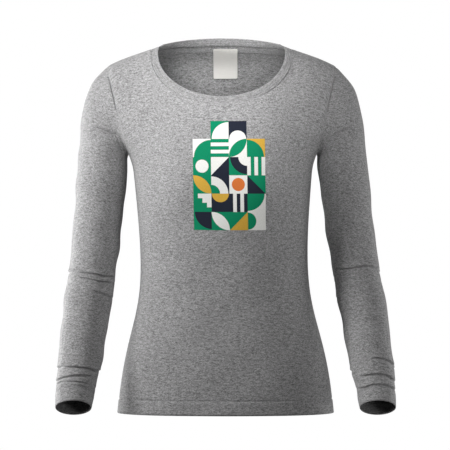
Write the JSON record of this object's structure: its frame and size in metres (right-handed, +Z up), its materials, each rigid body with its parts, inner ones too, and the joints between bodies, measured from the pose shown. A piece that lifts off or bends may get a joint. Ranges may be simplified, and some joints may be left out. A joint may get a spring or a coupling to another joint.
{
  "type": "long-sleeved t-shirt",
  "caption": "Women's fitted long-sleeved t-shirt in heather grey jersey, with a wide scoop neck, a rib neckband and an abstract chest print, shown as worn.",
  "frame": {"origin": "midway between the two high shoulder points, where the free edge of the neckband crosses the shoulders", "axes": "+Z up along the body, chest facing -Y, +X towards the wearer's left sleeve"},
  "size_m": [0.573, 0.2276, 0.638],
  "materials": {
    "jersey": "heather grey single jersey",
    "rib": "heather grey fine rib",
    "tape": "heather grey jersey tape",
    "label": "pale grey woven satin",
    "print": "matt screen print in green, white, black and ochre"
  },
  "bodies": {
    "root": {"front_panel": "jersey", "back_panel": "jersey", "sleeve_left": "jersey", "sleeve_right": "jersey", "neckband": "rib", "neck_tape": "tape", "neck_label": "label", "bottom_hem": "jersey", "cuff_hem_left": "jersey", "cuff_hem_right": "jersey", "side_allowance_left": "jersey", "side_allowance_right": "jersey", "shoulder_allowance_left": "jersey", "shoulder_allowance_right": "jersey", "chest_print": "print"}
  },
  "joints": []
}
